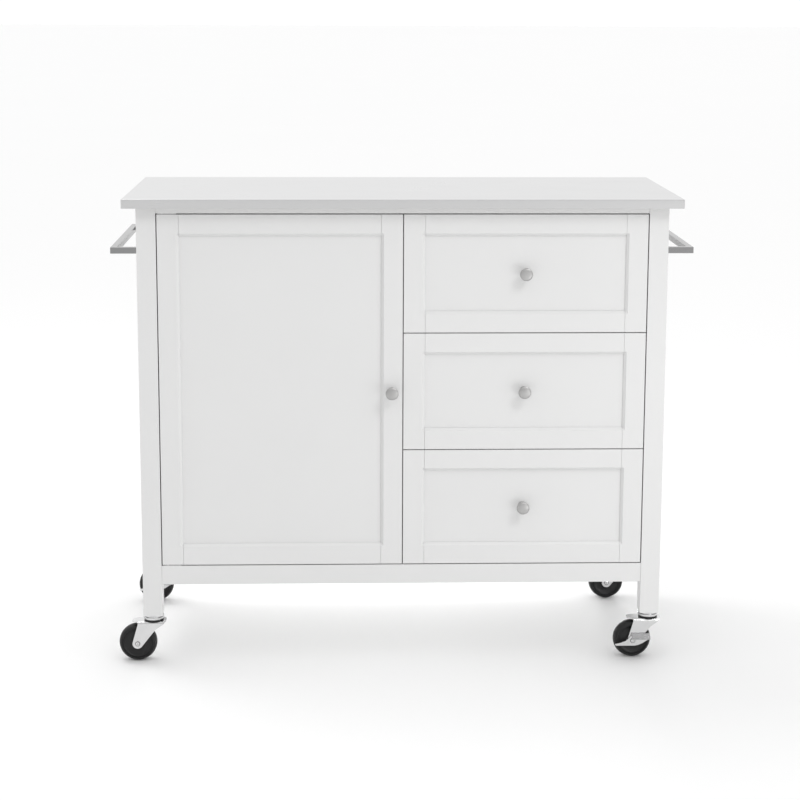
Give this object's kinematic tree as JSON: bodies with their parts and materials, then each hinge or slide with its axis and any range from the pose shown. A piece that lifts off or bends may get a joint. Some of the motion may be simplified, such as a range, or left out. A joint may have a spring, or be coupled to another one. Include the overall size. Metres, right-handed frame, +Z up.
{
  "type": "kitchen island cart",
  "caption": "Steel-topped kitchen island cart with an inset Shaker door, stacked drawers, side towel bars and swivel casters.",
  "frame": {"origin": "on the floor under the middle of the worktop", "axes": "+X to the right along the worktop, +Y from the door and drawers towards the back, +Z up"},
  "size_m": [1.144, 0.457, 0.94],
  "materials": {
    "white_paint": "satin white paint over wood and board",
    "inner_paint": "matt white paint inside the cabinet",
    "stainless": "brushed stainless sheet",
    "bar_steel": "brushed square bar",
    "nickel": "satin nickel",
    "zinc": "bright zinc plate",
    "wheel_rubber": "semi-matt black",
    "board": "raw board"
  },
  "bodies": {
    "cabinet": {"steel_top": "stainless", "top_core": "board", "post_front_left": "white_paint", "post_front_right": "white_paint", "post_back_left": "white_paint", "post_back_right": "white_paint", "side_panel_left": "white_paint", "side_panel_right": "white_paint", "back_panel": "white_paint", "divider": "inner_paint", "bottom_panel": "inner_paint", "front_top_rail": "white_paint", "front_bottom_rail": "white_paint", "shelf": "inner_paint", "shelf_pins": "zinc", "towel_bar_left": "bar_steel", "towel_bar_right": "bar_steel", "hinge_brackets": "zinc", "magnetic_catch": "zinc", "slide_rails": "zinc", "slide_battens": "board", "caster_cups": "zinc"},
    "door": {"door_stiles": "white_paint", "door_rails": "white_paint", "door_panel": "white_paint", "door_knob": "nickel", "door_hinge_leaves": "zinc", "door_strike_plate": "zinc"},
    "drawer_top": {"drawer_top_frame": "white_paint", "drawer_top_panel": "white_paint", "drawer_top_walls": "inner_paint", "drawer_top_base": "board", "drawer_top_knob": "nickel", "drawer_top_runners": "zinc"},
    "drawer_middle": {"drawer_middle_frame": "white_paint", "drawer_middle_panel": "white_paint", "drawer_middle_walls": "inner_paint", "drawer_middle_base": "board", "drawer_middle_knob": "nickel", "drawer_middle_runners": "zinc"},
    "drawer_bottom": {"drawer_bottom_frame": "white_paint", "drawer_bottom_panel": "white_paint", "drawer_bottom_walls": "inner_paint", "drawer_bottom_base": "board", "drawer_bottom_knob": "nickel", "drawer_bottom_runners": "zinc"},
    "caster_front_left": {"fork_front_left": "zinc", "axle_front_left": "zinc"},
    "wheel_front_left": {"wheel_front_left": "wheel_rubber"},
    "caster_front_right": {"fork_front_right": "zinc", "axle_front_right": "zinc"},
    "wheel_front_right": {"wheel_front_right": "wheel_rubber"},
    "caster_back_left": {"fork_back_left": "zinc", "axle_back_left": "zinc"},
    "wheel_back_left": {"wheel_back_left": "wheel_rubber"},
    "caster_back_right": {"fork_back_right": "zinc", "axle_back_right": "zinc"},
    "wheel_back_right": {"wheel_back_right": "wheel_rubber"},
    "brake_front_right": {"brake_front_right": "zinc"},
    "brake_back_left": {"brake_back_left": "zinc"}
  },
  "joints": [
    {"name": "door_hinge", "type": "hinge", "parent": "cabinet", "child": "door", "pos_m": [-0.47, -0.1995, 0.5555], "axis": [0, 0, -1], "range_deg": [0, 105]},
    {"name": "drawer_top_slide", "type": "slide", "parent": "cabinet", "child": "drawer_top", "axis": [0, -1, 0], "range_m": [0, 0.26]},
    {"name": "drawer_middle_slide", "type": "slide", "parent": "cabinet", "child": "drawer_middle", "axis": [0, -1, 0], "range_m": [0, 0.26]},
    {"name": "drawer_bottom_slide", "type": "slide", "parent": "cabinet", "child": "drawer_bottom", "axis": [0, -1, 0], "range_m": [0, 0.26]},
    {"name": "caster_front_left_swivel", "type": "hinge", "parent": "cabinet", "child": "caster_front_left", "pos_m": [-0.501, -0.1865, 0.084], "axis": [0, 0, 1], "continuous": true},
    {"name": "wheel_front_left_spin", "type": "hinge", "parent": "caster_front_left", "child": "wheel_front_left", "pos_m": [-0.533, -0.1865, 0.0381], "axis": [0, 1, 0], "continuous": true},
    {"name": "caster_front_right_swivel", "type": "hinge", "parent": "cabinet", "child": "caster_front_right", "pos_m": [0.501, -0.1865, 0.084], "axis": [0, 0, 1], "continuous": true},
    {"name": "wheel_front_right_spin", "type": "hinge", "parent": "caster_front_right", "child": "wheel_front_right", "pos_m": [0.469, -0.1865, 0.0381], "axis": [0, 1, 0], "continuous": true},
    {"name": "caster_back_left_swivel", "type": "hinge", "parent": "cabinet", "child": "caster_back_left", "pos_m": [-0.501, 0.1865, 0.084], "axis": [0, 0, 1], "continuous": true},
    {"name": "wheel_back_left_spin", "type": "hinge", "parent": "caster_back_left", "child": "wheel_back_left", "pos_m": [-0.533, 0.1865, 0.0381], "axis": [0, 1, 0], "continuous": true},
    {"name": "caster_back_right_swivel", "type": "hinge", "parent": "cabinet", "child": "caster_back_right", "pos_m": [0.501, 0.1865, 0.084], "axis": [0, 0, 1], "continuous": true},
    {"name": "wheel_back_right_spin", "type": "hinge", "parent": "caster_back_right", "child": "wheel_back_right", "pos_m": [0.469, 0.1865, 0.0381], "axis": [0, 1, 0], "continuous": true},
    {"name": "brake_front_right_pedal", "type": "hinge", "parent": "caster_front_right", "child": "brake_front_right", "pos_m": [0.469, -0.2065, 0.0381], "axis": [0, 1, 0], "range_deg": [0, 18]},
    {"name": "brake_back_left_pedal", "type": "hinge", "parent": "caster_back_left", "child": "brake_back_left", "pos_m": [-0.533, 0.1665, 0.0381], "axis": [0, 1, 0], "range_deg": [0, 18]}
  ]
}
